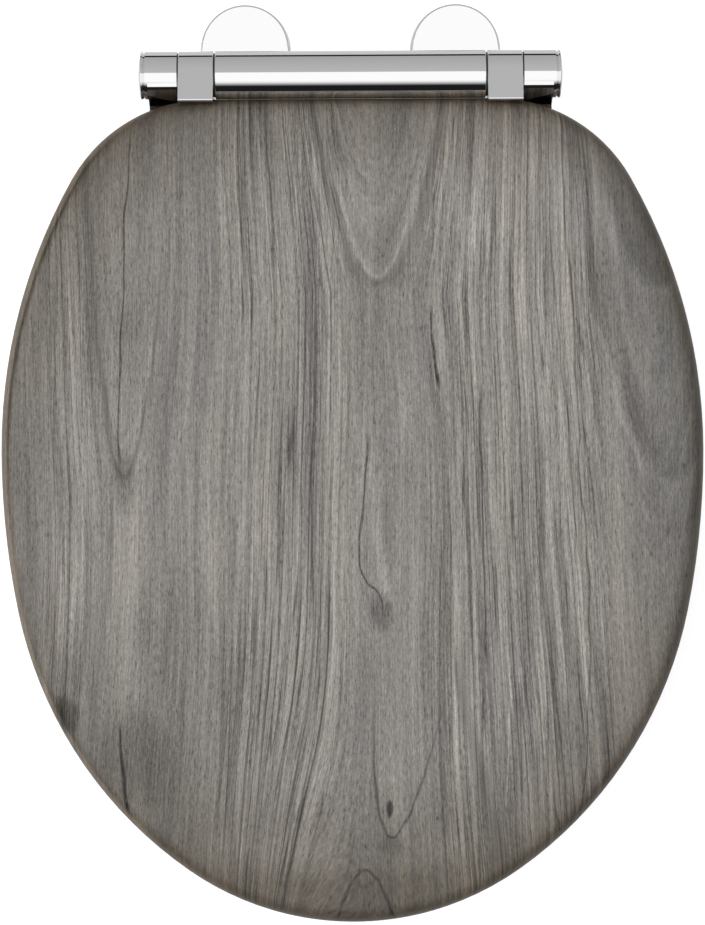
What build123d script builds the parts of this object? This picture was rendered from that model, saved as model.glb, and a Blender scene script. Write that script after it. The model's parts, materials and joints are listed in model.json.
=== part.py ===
from build123d import *
from dataclasses import astuple, dataclass
from math import cos, radians, sin, sqrt, tan
import os

# A toilet seat: a wood-look lid and ring that turn on a chrome bar hinge with soft-close dampers.
# Millimetres. The origin lies on the pan's top face, midway between the two fixing bolts.
# +Z is up, -Y is the front of the seat, and +X is the right of someone who faces it from the front.

# Outline of the lid
LID_WIDTH = 371.5
LID_REAR_LENGTH = 186.0
LID_FRONT_LENGTH = 249.5
LID_CORNER_RADIUS = 83.0
LID_SIDE_RADIUS = 426.0

# Outline of the opening in the ring
OPENING_WIDTH = 224.0
OPENING_REAR_LENGTH = 123.0
OPENING_FRONT_LENGTH = 157.0
OPENING_CORNER_RADIUS = 75.0
OPENING_SIDE_RADIUS = 260.0
OPENING_FORWARD = 15.0

# Where the arcs of both outlines meet, in degrees from the widest line
REAR_SIDE_SWEEP = 29.5
FRONT_SIDE_SWEEP = 11.5
SHOULDER_SWEEP = 55.0

# Heights, from the pan upwards
RING_BUMPER_HEIGHT = 10.0
RING_THICKNESS = 18.0
LID_TONGUE_CLEARANCE = 1.0
LID_THICKNESS = 17.0
HINGE_ABOVE_LID_UNDERSIDE = 10.0

# Edges of the lid and the ring
LID_TOP_ROUND = 10.5
LID_BOTTOM_ROUND = 3.0
RING_TOP_ROUND = 9.0
RING_BOTTOM_ROUND = 3.0
EDGE_LAND = 0.5
RING_INSET = 2.0
RING_REAR_SETBACK = 13.0
RING_REAR_CORNER = 12.0

# Hinge bar and its posts
BAR_DIAMETER = 25.2
BAR_OVERHANG = 14.9
BAR_WALL = 2.6
BAR_MIDDLE_WEB = 10.0
BAR_EDGE_ROUND = 0.5
LID_REAR_OVERLAP = 0.2
POST_DIAMETER = 13.0
POST_FORWARD = 17.5
POST_BLEND = 2.0

# Arms at the ends of the bar
INNER_GAP = 0.8
OUTER_GAP = 0.6
LID_ARM_WIDTH = 18.6
LID_ARM_TILT = 10.0
LID_ARM_OVERHANG = 2.4
LID_ARM_LIP_HEIGHT = 4.0
LID_ARM_REACH = 72.0
RING_ARM_WIDTH = 17.6
RING_ARM_REACH = 80.0
RING_NECK_WIDTH = 15.5
RING_CREASE_ANGLE = 24.0
RING_CREASE_STEP = 0.4
RING_SHOULDER_SLOPE = 18.0
RING_SHOULDER_LENGTH = 3.2
RING_SHOULDER_ROUND = 4.5
RING_FACET_REACH = 15.0
RING_FACET_DROP = 12.8
RING_NECK_DROP = 17.0
RING_NECK_THICKNESS = 8.5
RING_NECK_GAP = 0.3
RING_NECK_ROUND = 3.0
TONGUE_THICKNESS = 4.0
TONGUE_TIP_ROUND = 6.0
ARM_EDGE_ROUND = 1.0
ARM_SIDE_ROUND = 0.6
ARM_SCREW_COUNT = 3
ARM_SCREW_FROM_TIP = 9.0
ARM_SCREW_FROM_ROOT = 12.0

# Dampers, shafts and bushes inside the hinge
DAMPER_KEY_WIDTH = 3.0
DAMPER_KEY_HEIGHT = 1.2
SHAFT_DIAMETER = 9.0
SHAFT_FLATS = 7.0
SHAFT_DEPTH_IN_DAMPER = 40.0
PIVOT_DIAMETER = 7.0
BUSH_WALL = 1.5
THRUST_WASHER_INSET = 1.05
THRUST_WASHER_CLEARANCE = 0.1
SHAFT_SCREW_DIAMETER = 4.0
SHAFT_SCREW_LENGTH = 10.0
SHAFT_SCREW_HEAD_DIAMETER = 7.6
SHAFT_SCREW_HEAD_HEIGHT = 2.6
RETAINER_INSET = 1.5
RETAINER_THICKNESS = 1.0

# End caps
CAP_RIM = 1.7
CAP_DOME = 1.3
CAP_EDGE_ROUND = 0.6
CAP_GROOVE = 0.7
CAP_POCKET_WALL = 4.0
CAP_POCKET_DEPTH = 6.0
CAP_SPIGOT_LENGTH = 1.9
CAP_SPIGOT_WALL = 1.2

# Fixings on the pan
STUD_SPACING = 113.0
PAN_LEDGE = 18.0
GASKET_THICKNESS = 2.0
GASKET_HOLE_DIAMETER = 10.0
PLATE_THICKNESS = 4.0
COVER_DIAMETER = 48.5
COVER_HEADROOM = 0.6
COVER_TAPER = 0.8
COVER_WALL = 1.2
COVER_EDGE_ROUND = 0.9
BOLT_HEAD_DIAMETER = 14.0
BOLT_HEAD_HEIGHT = 3.0
BOLT_HEAD_ROUND = 1.2
BOLT_NECK_SIDE = 6.2
BOLT_DIAMETER = 6.0
BOLT_THREAD_DEPTH = 0.25
BOLT_THREAD_ABOVE_BUSHING = 1.0
BOLT_END_BELOW_NUT = 14.0
BOLT_TIP_CHAMFER = 0.8
BUSHING_SPIGOT_DIAMETER = 13.0
BUSHING_SPIGOT_LENGTH = 5.0
BUSHING_FLANGE_DIAMETER = 26.0
BUSHING_FLANGE_THICKNESS = 4.0
NUT_FLANGE_DIAMETER = 22.0
NUT_FLANGE_THICKNESS = 3.0
NUT_HUB_DIAMETER = 13.0
NUT_HUB_HEIGHT = 9.0
NUT_WING_SPAN = 34.0
NUT_WING_HEIGHT = 11.0
NUT_WING_THICKNESS = 2.8
NUT_WING_ROUND = 4.0

# Screws
WOOD_SCREW_DIAMETER = 4.0
WOOD_SCREW_HEAD_DIAMETER = 7.6
WOOD_SCREW_HEAD_HEIGHT = 2.0
WOOD_SCREW_LENGTH = 14.0
WOOD_SCREW_POINT = 3.0
POST_SCREW_DIAMETER = 5.0
POST_SCREW_HEAD_DIAMETER = 9.0
POST_SCREW_HEAD_HEIGHT = 2.2
POST_SCREW_LENGTH = 16.0
DRIVE_SLOT_LENGTH = 3.8
DRIVE_SLOT_WIDTH = 0.8
DRIVE_SLOT_DEPTH = 1.2

# Rubber feet
BUMPER_LENGTH = 38.0
BUMPER_WIDTH = 16.0
BUMPER_ROUND = 2.0
BUMPER_SCREW_SEAT = 5.0
BUMPER_SCREW_HOLE = 8.4
BUMPER_ANGLES = (-52.0, 16.0)
BUFFER_DIAMETER = 16.0
BUFFER_ROUND = 1.5
BUFFER_PEG_DIAMETER = 6.0
BUFFER_PEG_LENGTH = 8.0
BUFFER_ANGLES = (-36.0, 34.0)

# Clearances
FIT = 0.05
COVER_FIT = 0.3

# Levels and stations that follow from the sizes above
ring_underside = RING_BUMPER_HEIGHT
ring_top = ring_underside + RING_THICKNESS
buffer_height = TONGUE_THICKNESS + LID_TONGUE_CLEARANCE
lid_underside = ring_top + buffer_height
hinge_z = lid_underside + HINGE_ABOVE_LID_UNDERSIDE
hinge_y = -POST_FORWARD
bar_radius = BAR_DIAMETER / 2
bore_radius = bar_radius - BAR_WALL
shaft_radius = SHAFT_DIAMETER / 2
pivot_radius = PIVOT_DIAMETER / 2
stud_x = STUD_SPACING / 2
plate_bottom = GASKET_THICKNESS
plate_top = plate_bottom + PLATE_THICKNESS
cover_radius = COVER_DIAMETER / 2
cover_height = PLATE_THICKNESS + BOLT_HEAD_HEIGHT + COVER_HEADROOM + COVER_WALL
post_radius = POST_DIAMETER / 2

bar_end = stud_x + BAR_OVERHANG
damper_start = BAR_MIDDLE_WEB / 2
lid_arm_in = bar_end + INNER_GAP
lid_arm_out = lid_arm_in + LID_ARM_WIDTH
ring_arm_in = lid_arm_out + OUTER_GAP
ring_arm_out = ring_arm_in + RING_ARM_WIDTH
pocket_floor = ring_arm_out - CAP_POCKET_DEPTH
pocket_radius = bar_radius - CAP_POCKET_WALL

lid_rear_y = hinge_y - bar_radius + LID_REAR_OVERLAP
ring_rear_y = lid_rear_y - RING_REAR_SETBACK
widest_y = lid_rear_y - LID_REAR_LENGTH

thread_radius = BOLT_DIAMETER / 2 - BOLT_THREAD_DEPTH
bushing_top = BUSHING_SPIGOT_LENGTH - PAN_LEDGE
bushing_bottom = -PAN_LEDGE - BUSHING_FLANGE_THICKNESS
thread_top = bushing_top + BOLT_THREAD_ABOVE_BUSHING
nut_hub_top = bushing_bottom - NUT_FLANGE_THICKNESS
nut_bottom = nut_hub_top - NUT_WING_HEIGHT
bolt_bottom = nut_bottom - BOLT_END_BELOW_NUT

hinge_axis = Axis((0, hinge_y, hinge_z), (1, 0, 0))


@dataclass(frozen=True)
class Egg:
    """A seat outline of tangent arcs, widest on one line, with a straight rear edge."""

    half_width: float
    rear_length: float
    front_length: float
    corner_radius: float
    side_radius: float
    widest_y: float

    def inset(self, distance):
        return Egg(
            self.half_width - distance,
            self.rear_length - distance,
            self.front_length - distance,
            self.corner_radius - distance,
            self.side_radius - distance,
            self.widest_y,
        )

    def midway(self, other):
        """The outline halfway between this one and another."""
        pairs = zip(astuple(self), astuple(other))
        return Egg(*[(mine + theirs) / 2 for mine, theirs in pairs])

    def right_arcs(self):
        """The right half's arcs from nose to rear: centre x and y, radius, start and end angle."""
        rear_cos, rear_sin = cos(radians(REAR_SIDE_SWEEP)), sin(radians(REAR_SIDE_SWEEP))
        side_cos, side_sin = cos(radians(FRONT_SIDE_SWEEP)), sin(radians(FRONT_SIDE_SWEEP))
        nose_cos, nose_sin = cos(radians(SHOULDER_SWEEP)), sin(radians(SHOULDER_SWEEP))
        width, corner, side = self.half_width, self.corner_radius, self.side_radius

        rear_side = (self.rear_length - corner * (1 - rear_sin)) / rear_sin
        rear_x = width - rear_side
        corner_x = rear_x + (rear_side - corner) * rear_cos
        corner_y = self.widest_y + (rear_side - corner) * rear_sin

        # The shoulder and nose radii put the nose's centre on the middle line and its tip at the front.
        across = side - width - side * side_cos
        along = self.front_length - side * side_sin
        determinant = (nose_cos - side_cos) * (1 - nose_sin) + nose_cos * (nose_sin - side_sin)
        shoulder = (across * (1 - nose_sin) + nose_cos * along) / determinant
        nose = ((nose_cos - side_cos) * along - (nose_sin - side_sin) * across) / determinant
        shoulder_x = width - side + (side - shoulder) * side_cos
        shoulder_y = self.widest_y - (side - shoulder) * side_sin
        nose_y = self.widest_y - self.front_length + nose

        return [
            (0.0, nose_y, nose, -90.0, -SHOULDER_SWEEP),
            (shoulder_x, shoulder_y, shoulder, -SHOULDER_SWEEP, -FRONT_SIDE_SWEEP),
            (width - side, self.widest_y, side, -FRONT_SIDE_SWEEP, 0.0),
            (rear_x, self.widest_y, rear_side, 0.0, REAR_SIDE_SWEEP),
            (corner_x, corner_y, corner, REAR_SIDE_SWEEP, 90.0),
        ]

    def face(self):
        arcs = self.right_arcs()
        edges = []
        for x, y, radius, start, end in arcs:
            edges.append(CenterArc((x, y), radius, start, end - start))
            edges.append(CenterArc((-x, y), radius, 180 - end, end - start))
        rear_x = arcs[-1][0]
        rear_y = self.widest_y + self.rear_length
        edges.append(Line((rear_x, rear_y), (-rear_x, rear_y)))
        return make_face(edges)

    def point(self, angle):
        """The point on the right half where the outward normal has this angle."""
        for x, y, radius, start, end in self.right_arcs():
            if start <= angle <= end:
                return x + radius * cos(radians(angle)), y + radius * sin(radians(angle))


lid_outline = Egg(
    LID_WIDTH / 2, LID_REAR_LENGTH, LID_FRONT_LENGTH, LID_CORNER_RADIUS, LID_SIDE_RADIUS, widest_y
)
ring_outline = lid_outline.inset(RING_INSET)
opening_outline = Egg(
    OPENING_WIDTH / 2,
    OPENING_REAR_LENGTH,
    OPENING_FRONT_LENGTH,
    OPENING_CORNER_RADIUS,
    OPENING_SIDE_RADIUS,
    widest_y - OPENING_FORWARD,
)
band_middle = ring_outline.midway(opening_outline)


def on_side(shape, side):
    """A piece drawn on the right, kept there or mirrored to the left."""
    return shape if side > 0 else mirror(shape, about=Plane.YZ)


def on_axis(radius, x_start, x_end):
    """A cylinder on the hinge axis between two stations."""
    middle = (x_start + x_end) / 2
    return Pos(middle, hinge_y, hinge_z) * Rot(0, 90, 0) * Cylinder(radius, x_end - x_start)


def double_d(radius, flats, x_start, x_end):
    """A shaft section on the hinge axis with two flats."""
    middle = (x_start + x_end) / 2
    return on_axis(radius, x_start, x_end) & (
        Pos(middle, hinge_y, hinge_z) * Box(x_end - x_start, 2 * radius, flats)
    )


def upright(radius, x, y, z_start, z_end):
    return Pos(x, y, (z_start + z_end) / 2) * Cylinder(radius, z_end - z_start)


def across_hinge(x):
    """The plane at a station across the hinge axis: first direction to the rear, second up."""
    return Plane(origin=(x, hinge_y, hinge_z), x_dir=(0, 1, 0), z_dir=(1, 0, 0))


def screw_form(diameter, head_diameter, head_height, length, point, grow=0.0):
    """A countersunk screw that points up, with its head's face at the origin; grown, it is its hole."""
    radius = diameter / 2 + grow
    head = Cone(
        head_diameter / 2 + grow, radius, head_height, align=(Align.CENTER, Align.CENTER, Align.MIN)
    )
    body_height = length - head_height - point
    body = Pos(0, 0, head_height + body_height / 2) * Cylinder(radius, body_height)
    if point == 0:
        return head + body
    tip = Pos(0, 0, length - point) * Cone(
        radius, radius / 4, point + grow, align=(Align.CENTER, Align.CENTER, Align.MIN)
    )
    return head + body + tip


def with_cross(screw, head_z=0.0):
    """Cut a cross slot into a screw's head, and lift the screw to the height of its seat."""
    slot = Pos(0, 0, DRIVE_SLOT_DEPTH / 2) * Box(DRIVE_SLOT_LENGTH, DRIVE_SLOT_WIDTH, DRIVE_SLOT_DEPTH)
    return Pos(0, 0, head_z) * (screw - slot - Rot(0, 0, 90) * slot)


def wood_screw(grow=0.0):
    return screw_form(
        WOOD_SCREW_DIAMETER,
        WOOD_SCREW_HEAD_DIAMETER,
        WOOD_SCREW_HEAD_HEIGHT,
        WOOD_SCREW_LENGTH,
        WOOD_SCREW_POINT,
        grow,
    )


def post_screw(grow=0.0):
    return screw_form(
        POST_SCREW_DIAMETER, POST_SCREW_HEAD_DIAMETER, POST_SCREW_HEAD_HEIGHT, POST_SCREW_LENGTH, 0, grow
    )


def arm_screw_places(x_in, width, reach, root_y, z):
    """Where the screws of one arm's tongue stand, evenly from its tip back to its root."""
    first_y = hinge_y - reach + ARM_SCREW_FROM_TIP
    last_y = root_y - ARM_SCREW_FROM_ROOT
    pitch = (last_y - first_y) / (ARM_SCREW_COUNT - 1)
    return [Pos(x_in + width / 2, first_y + index * pitch, z) for index in range(ARM_SCREW_COUNT)]


lid_tongue_bottom = lid_underside - TONGUE_THICKNESS
ring_tongue_bottom = ring_underside - TONGUE_THICKNESS
lid_screw_places = arm_screw_places(
    lid_arm_in, LID_ARM_WIDTH, LID_ARM_REACH, lid_rear_y, lid_tongue_bottom
)
ring_screw_places = arm_screw_places(
    ring_arm_in, RING_NECK_WIDTH, RING_ARM_REACH, ring_rear_y, ring_tongue_bottom
)
bumper_places = [
    Pos(*band_middle.point(angle), 0) * Rot(0, 0, angle + 90) for angle in BUMPER_ANGLES
]
buffer_places = [Pos(*band_middle.point(angle), lid_underside) for angle in BUFFER_ANGLES]


def both_sides(places, form):
    """One form at each place on the right, and mirrored on the left."""
    right = [place * form for place in places]
    return right + [mirror(shape, about=Plane.YZ) for shape in right]


def cut_all(solid, cutters):
    for cutter in cutters:
        solid = solid - cutter
    return solid


# Lid and ring


def lid_panel():
    panel = Pos(0, 0, lid_underside) * extrude(lid_outline.face(), LID_THICKNESS)
    top_round = min(LID_TOP_ROUND, LID_THICKNESS - LID_BOTTOM_ROUND - EDGE_LAND)
    panel = fillet(panel.faces().sort_by(Axis.Z)[-1].edges(), top_round)
    panel = fillet(panel.faces().sort_by(Axis.Z)[0].edges(), LID_BOTTOM_ROUND)
    panel = cut_all(panel, both_sides(lid_screw_places, wood_screw(FIT)))
    peg_hole = upright(BUFFER_PEG_DIAMETER / 2 + FIT, 0, 0, 0, BUFFER_PEG_LENGTH)
    return cut_all(panel, both_sides(buffer_places, peg_hole))


def seat_ring():
    outer = ring_outline.face()
    rear_waste = Pos(0, ring_rear_y + LID_REAR_LENGTH / 2) * Rectangle(2 * LID_WIDTH, LID_REAR_LENGTH)
    outer = outer - rear_waste
    outer = fillet(outer.vertices().group_by(Axis.Y)[-1], RING_REAR_CORNER)
    band = outer - opening_outline.face()
    ring = Pos(0, 0, ring_underside) * extrude(band, RING_THICKNESS)
    top_round = min(RING_TOP_ROUND, RING_THICKNESS - RING_BOTTOM_ROUND - EDGE_LAND)
    ring = fillet(ring.faces().sort_by(Axis.Z)[-1].edges(), top_round)
    ring = fillet(ring.faces().sort_by(Axis.Z)[0].edges(), RING_BOTTOM_ROUND)
    ring = cut_all(ring, both_sides(ring_screw_places, wood_screw(FIT)))
    return cut_all(ring, both_sides(bumper_places, bumper_screw(FIT)))


# Hinge bar, arms and end caps


def hinge_bar():
    """Bar and posts as one casting, bored from both ends for the dampers."""
    bar = on_axis(bar_radius, -bar_end, bar_end)
    bar = fillet(bar.edges(), BAR_EDGE_ROUND)
    for side in (1, -1):
        bar = bar + upright(post_radius, side * stud_x, hinge_y, plate_top, hinge_z)
    bar = fillet(bar.edges().filter_by(GeomType.BSPLINE), POST_BLEND)
    for side in (1, -1):
        bore = on_axis(bore_radius, damper_start, bar_end)
        keyway = damper_key(FIT)
        bar = bar - on_side(bore, side) - on_side(keyway, side)
        bar = bar - Pos(side * stud_x, hinge_y, plate_bottom) * post_screw(FIT)
    return bar


def damper_key(grow):
    """The rib that stops a damper from turning in the bar; grown, it is the keyway."""
    middle = (damper_start + bar_end) / 2
    top = hinge_z + bore_radius + DAMPER_KEY_HEIGHT + grow
    bottom = hinge_z + shaft_radius + DAMPER_KEY_HEIGHT
    return Pos(middle, hinge_y, (top + bottom) / 2) * Box(
        bar_end - damper_start, DAMPER_KEY_WIDTH + 2 * grow, top - bottom
    )


def damper():
    body = on_axis(bore_radius - FIT, damper_start, bar_end) + damper_key(0)
    return body - on_axis(shaft_radius + FIT, bar_end - SHAFT_DEPTH_IN_DAMPER - FIT, bar_end)


def lid_arm(keyed):
    """Block on the hinge axis with a sloping top and a lip over the lid's edge, and a tongue under the lid."""
    slope = radians(LID_ARM_TILT)
    touch = (bar_radius * sin(slope), bar_radius * cos(slope))
    block_front = -bar_radius - LID_ARM_OVERHANG
    root = lid_rear_y - hinge_y + FIT
    front_top = touch[1] + (touch[0] - block_front) * tan(slope)
    tongue_top = lid_underside - hinge_z
    tongue_bottom = tongue_top - TONGUE_THICKNESS
    block = Polygon(
        touch,
        (block_front, front_top),
        (block_front, LID_ARM_LIP_HEIGHT),
        (root, LID_ARM_LIP_HEIGHT),
        (root, tongue_bottom),
        (0, tongue_bottom),
        align=None,
    )
    block = fillet(block.vertices().group_by(Axis.Y)[-1], ARM_EDGE_ROUND)
    tongue = Polygon(
        (0, tongue_top),
        (-LID_ARM_REACH, tongue_top),
        (-LID_ARM_REACH, tongue_bottom),
        (0, tongue_bottom),
        align=None,
    )
    profile = Circle(bar_radius) + block + tongue
    arm = extrude(across_hinge(lid_arm_in) * profile, LID_ARM_WIDTH)
    top = arm.faces().filter_by(GeomType.PLANE).sort_by(Axis.Z)[-1]
    arm = fillet(top.edges().filter_by(Axis.X, reverse=True), ARM_SIDE_ROUND)
    arm = fillet(arm.edges().filter_by(Axis.Z).group_by(Axis.Y)[0], TONGUE_TIP_ROUND)
    arm = cut_all(arm, [place * wood_screw(FIT) for place in lid_screw_places])
    if keyed:
        return arm - double_d(shaft_radius + FIT, SHAFT_FLATS + 2 * FIT, lid_arm_in, lid_arm_out)
    return arm - on_axis(shaft_radius + BUSH_WALL + FIT, lid_arm_in, lid_arm_out)


def ring_arm(keyed):
    """Boss on the hinge axis, cut flat at the front, with a narrower neck down to a tongue under the ring."""
    crease_angle = radians(RING_CREASE_ANGLE)
    crease_y = -bar_radius * sin(crease_angle)
    crease = (crease_y, bar_radius * cos(crease_angle) - RING_CREASE_STEP)
    slope = radians(RING_SHOULDER_SLOPE)
    shoulder = (crease_y - RING_SHOULDER_LENGTH * cos(slope), crease[1] - RING_SHOULDER_LENGTH * sin(slope))
    facet_end = (-RING_FACET_REACH, -RING_FACET_DROP)
    neck_front = ring_rear_y - hinge_y + RING_NECK_GAP
    tongue_top = ring_underside - hinge_z
    tongue_bottom = tongue_top - TONGUE_THICKNESS
    neck = Polygon(
        (0, 0),
        crease,
        shoulder,
        facet_end,
        (neck_front, -RING_NECK_DROP),
        (neck_front, tongue_bottom),
        (neck_front + RING_NECK_THICKNESS, tongue_bottom),
        (0, -bar_radius),
        align=None,
    )
    neck = fillet(neck.vertices().sort_by_distance((neck_front, -RING_NECK_DROP))[0], RING_NECK_ROUND)
    neck = fillet(neck.vertices().sort_by_distance(shoulder)[0], RING_SHOULDER_ROUND)
    tongue = Polygon(
        (neck_front, tongue_top),
        (-RING_ARM_REACH, tongue_top),
        (-RING_ARM_REACH, tongue_bottom),
        (neck_front, tongue_bottom),
        align=None,
    )
    waste = Polygon(
        crease,
        (crease_y, bar_radius),
        (-bar_radius, bar_radius),
        (-bar_radius, -RING_FACET_DROP),
        facet_end,
        shoulder,
        align=None,
    )
    boss = on_axis(bar_radius, ring_arm_in, ring_arm_out)
    boss = chamfer(boss.edges().sort_by(Axis.X)[-1], CAP_GROOVE)
    reach = extrude(across_hinge(ring_arm_in) * (neck + tongue), RING_NECK_WIDTH)
    reach = fillet(reach.edges().filter_by(Axis.Z).group_by(Axis.Y)[0], TONGUE_TIP_ROUND)
    arm = boss - extrude(across_hinge(ring_arm_in) * waste, RING_NECK_WIDTH) + reach
    arm = cut_all(arm, [place * wood_screw(FIT) for place in ring_screw_places])
    arm = arm - on_axis(pocket_radius, pocket_floor, ring_arm_out)
    if keyed:
        return arm - double_d(shaft_radius + FIT, SHAFT_FLATS + 2 * FIT, ring_arm_in, pocket_floor)
    return arm - on_axis(pivot_radius + BUSH_WALL + FIT, ring_arm_in, pocket_floor)


def end_cap():
    """A shallow dome with a spigot that plugs the pocket in the ring arm."""
    spigot_radius = pocket_radius - FIT
    hollow_radius = spigot_radius - CAP_SPIGOT_WALL
    rim_x = ring_arm_out + CAP_RIM
    dome_radius = (bar_radius**2 + CAP_DOME**2) / (2 * CAP_DOME)
    half_way = bar_radius / 2
    half_rise = CAP_DOME - dome_radius + sqrt(dome_radius**2 - half_way**2)
    outline = Polyline(
        (rim_x + CAP_DOME, 0),
        (ring_arm_out, 0),
        (ring_arm_out, hollow_radius),
        (ring_arm_out - CAP_SPIGOT_LENGTH, hollow_radius),
        (ring_arm_out - CAP_SPIGOT_LENGTH, spigot_radius),
        (ring_arm_out, spigot_radius),
        (ring_arm_out, bar_radius - CAP_GROOVE),
        (ring_arm_out + CAP_GROOVE, bar_radius),
        (rim_x, bar_radius),
    )
    dome = ThreePointArc((rim_x, bar_radius), (rim_x + half_rise, half_way), (rim_x + CAP_DOME, 0))
    along_hinge = Plane(origin=(0, hinge_y, hinge_z), x_dir=(1, 0, 0), z_dir=(0, -1, 0))
    section = make_face([outline, dome])
    section = fillet(section.vertices().sort_by_distance((rim_x, bar_radius))[0], CAP_EDGE_ROUND)
    return revolve(along_hinge * section, hinge_axis)


def tapped_end():
    """The hole in a shaft's outer end for its retaining screw."""
    return on_axis(SHAFT_SCREW_DIAMETER / 2 + FIT, pocket_floor - SHAFT_SCREW_LENGTH, pocket_floor)


def lid_damper_shaft():
    """Turns in the damper, drives the lid arm by its flats, and carries the ring arm on its pivot."""
    in_damper = on_axis(shaft_radius, bar_end - SHAFT_DEPTH_IN_DAMPER, lid_arm_in)
    in_lid_arm = double_d(shaft_radius, SHAFT_FLATS, lid_arm_in, lid_arm_out)
    pivot = on_axis(pivot_radius, lid_arm_out, pocket_floor)
    return in_damper + in_lid_arm + pivot - tapped_end()


def ring_damper_shaft():
    """Turns in the damper and in the lid arm's bush, and drives the ring arm by its flats."""
    in_damper = on_axis(shaft_radius, bar_end - SHAFT_DEPTH_IN_DAMPER, ring_arm_in)
    in_ring_arm = double_d(shaft_radius, SHAFT_FLATS, ring_arm_in, pocket_floor)
    return in_damper + in_ring_arm - tapped_end()


def bush(inner_radius, x_start, x_end):
    outer = on_axis(inner_radius + BUSH_WALL, x_start, x_end)
    return outer - on_axis(inner_radius + FIT, x_start, x_end)


def thrust_washer(x_start, gap, inner_radius):
    x_end = x_start + gap - THRUST_WASHER_CLEARANCE
    disc = on_axis(bar_radius - THRUST_WASHER_INSET, x_start, x_end)
    return disc - on_axis(inner_radius + FIT, x_start, x_end)


def retainer():
    plate = on_axis(pocket_radius - RETAINER_INSET, pocket_floor, pocket_floor + RETAINER_THICKNESS)
    return plate - on_axis(SHAFT_SCREW_DIAMETER / 2 + FIT, pocket_floor, pocket_floor + RETAINER_THICKNESS)


def shaft_screw():
    head_start = pocket_floor + RETAINER_THICKNESS
    head_end = head_start + SHAFT_SCREW_HEAD_HEIGHT
    head = on_axis(SHAFT_SCREW_HEAD_DIAMETER / 2, head_start, head_end)
    stem = on_axis(SHAFT_SCREW_DIAMETER / 2, head_start - SHAFT_SCREW_LENGTH, head_start)
    slot = Pos(head_end - DRIVE_SLOT_DEPTH / 2, hinge_y, hinge_z) * Box(
        DRIVE_SLOT_DEPTH, DRIVE_SLOT_LENGTH, DRIVE_SLOT_WIDTH
    )
    turned_slot = Pos(0, hinge_y, hinge_z) * Rot(90, 0, 0) * Pos(0, -hinge_y, -hinge_z) * slot
    return head + stem - slot - turned_slot


# Fixings on the pan, drawn at the right-hand stud


def foot_outline(radius, lobe_radius):
    """A disc about the stud with a lobe forward under the post."""
    lobe = Pos(0, -POST_FORWARD) * Circle(lobe_radius)
    waist = Pos(0, -POST_FORWARD / 2) * Rectangle(2 * lobe_radius, POST_FORWARD)
    return Circle(radius) + lobe + waist


def base_gasket():
    outline = foot_outline(cover_radius, post_radius + COVER_FIT) - Circle(GASKET_HOLE_DIAMETER / 2)
    return Pos(stud_x, 0, 0) * extrude(outline, GASKET_THICKNESS)


def base_plate():
    """The plate that the bolt clamps and the post is screwed to."""
    cover_lean = COVER_TAPER * PLATE_THICKNESS / cover_height
    plate_radius = cover_radius - COVER_WALL - cover_lean - COVER_FIT
    neck_side = BOLT_NECK_SIDE + 2 * FIT
    outline = foot_outline(plate_radius, post_radius) - Rectangle(neck_side, neck_side)
    plate = Pos(stud_x, 0, plate_bottom) * extrude(outline, PLATE_THICKNESS)
    return plate - Pos(stud_x, hinge_y, plate_bottom) * post_screw(FIT)


def cover_disc():
    """A tapered chrome cap over the plate and bolt head, notched at the front for the post."""
    upwards = (Align.CENTER, Align.CENTER, Align.MIN)
    outside = Cone(cover_radius, cover_radius - COVER_TAPER, cover_height, align=upwards)
    outside = fillet(outside.edges().sort_by(Axis.Z)[-1], COVER_EDGE_ROUND)
    inner_height = cover_height - COVER_WALL
    inner_taper = COVER_TAPER * inner_height / cover_height
    inner_radius = cover_radius - COVER_WALL
    inside = Cone(inner_radius, inner_radius - inner_taper, inner_height, align=upwards)
    notch_radius = post_radius + COVER_FIT
    notch = Pos(0, -POST_FORWARD) * Circle(notch_radius)
    notch = notch + Pos(0, -POST_FORWARD - cover_radius / 2) * Rectangle(2 * notch_radius, cover_radius)
    cap = outside - inside - extrude(notch, cover_height)
    return Pos(stud_x, 0, plate_bottom) * cap


def fixing_bolt():
    head = upright(BOLT_HEAD_DIAMETER / 2, stud_x, 0, plate_top, plate_top + BOLT_HEAD_HEIGHT)
    head = fillet(head.edges().sort_by(Axis.Z)[-1], BOLT_HEAD_ROUND)
    neck = Box(BOLT_NECK_SIDE, BOLT_NECK_SIDE, PLATE_THICKNESS)
    neck = Pos(stud_x, 0, (plate_bottom + plate_top) / 2) * neck
    plain = upright(BOLT_DIAMETER / 2, stud_x, 0, thread_top, plate_bottom)
    thread = upright(thread_radius, stud_x, 0, bolt_bottom, thread_top)
    thread = chamfer(thread.edges().sort_by(Axis.Z)[0], BOLT_TIP_CHAMFER)
    return head + neck + plain + thread


def rubber_bushing():
    """A top-hat bushing that centres the bolt in the pan's hole from below."""
    spigot = upright(BUSHING_SPIGOT_DIAMETER / 2, stud_x, 0, -PAN_LEDGE, bushing_top)
    flange = upright(BUSHING_FLANGE_DIAMETER / 2, stud_x, 0, bushing_bottom, -PAN_LEDGE)
    hole = upright(thread_radius + FIT, stud_x, 0, bushing_bottom, bushing_top)
    return spigot + flange - hole


def wing_nut():
    flange = upright(NUT_FLANGE_DIAMETER / 2, stud_x, 0, nut_hub_top, bushing_bottom)
    hub = upright(NUT_HUB_DIAMETER / 2, stud_x, 0, nut_hub_top - NUT_HUB_HEIGHT, nut_hub_top)
    wing_face = RectangleRounded(NUT_WING_SPAN, NUT_WING_HEIGHT, NUT_WING_ROUND)
    wings = extrude(Plane.XZ * wing_face, NUT_WING_THICKNESS / 2, both=True)
    wings = Pos(stud_x, 0, (nut_hub_top + nut_bottom) / 2) * wings
    hole = upright(thread_radius + FIT, stud_x, 0, nut_bottom, bushing_bottom)
    return flange + hub + wings - hole


# Rubber feet and their screws


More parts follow.
